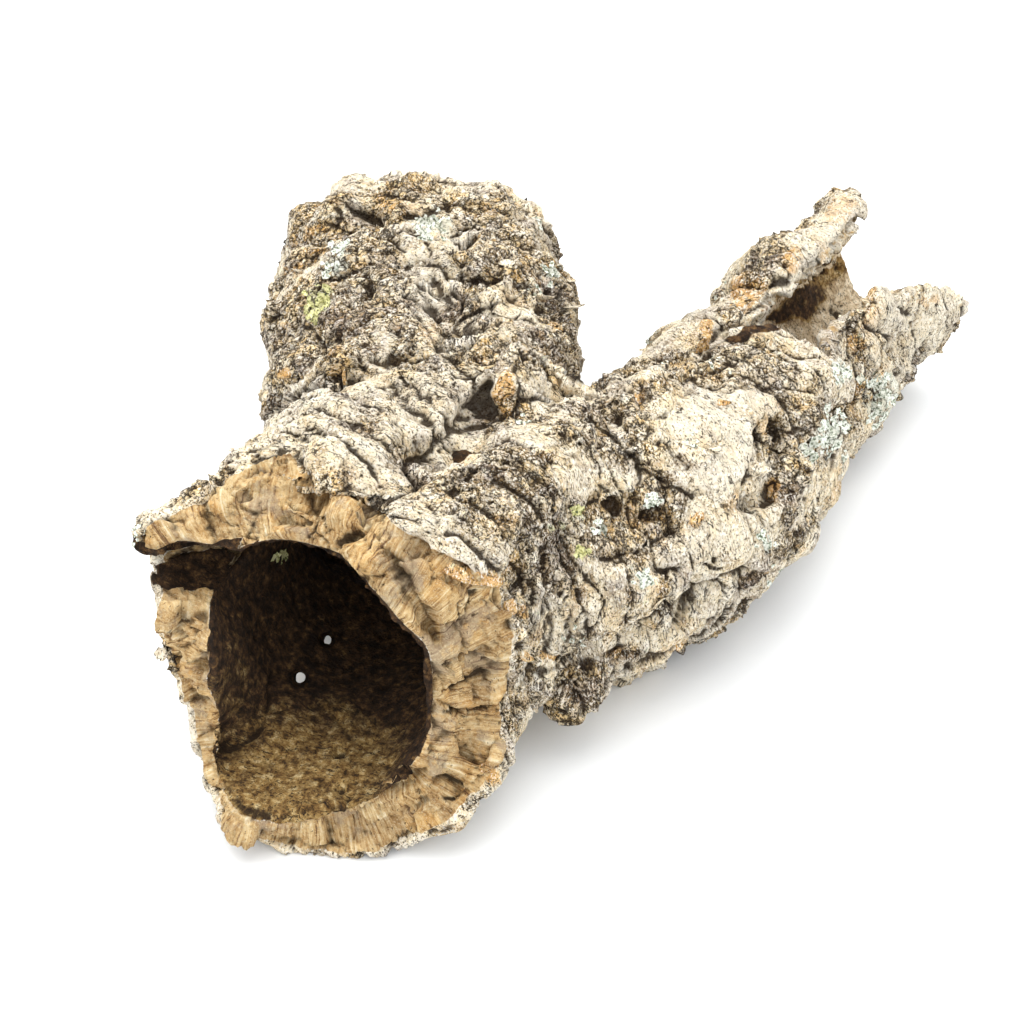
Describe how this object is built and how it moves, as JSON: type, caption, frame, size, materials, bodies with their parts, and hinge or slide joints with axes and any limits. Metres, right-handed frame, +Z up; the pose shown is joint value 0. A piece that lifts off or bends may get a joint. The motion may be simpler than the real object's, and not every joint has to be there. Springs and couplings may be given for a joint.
{
  "type": "cork branch",
  "caption": "Hollow forked cork branch: bark tube with a torn open mouth, a wide left limb and a longer right limb that ends as a broken half pipe.",
  "frame": {"origin": "middle of the footprint, on the ground the branch lies on", "axes": "+Y along the trunk from its mouth to the limbs, +Z up, +X to the right as seen from the mouth"},
  "size_m": [0.3736, 0.5224, 0.1567],
  "materials": {
    "trunk_bark": "raw cork bark, rough and matt",
    "left_limb_bark": "raw cork bark, rough and matt",
    "right_limb_bark": "raw cork bark, rough and matt"
  },
  "bodies": {
    "root": {"trunk": "trunk_bark", "left_limb": "left_limb_bark", "right_limb": "right_limb_bark"}
  },
  "joints": []
}
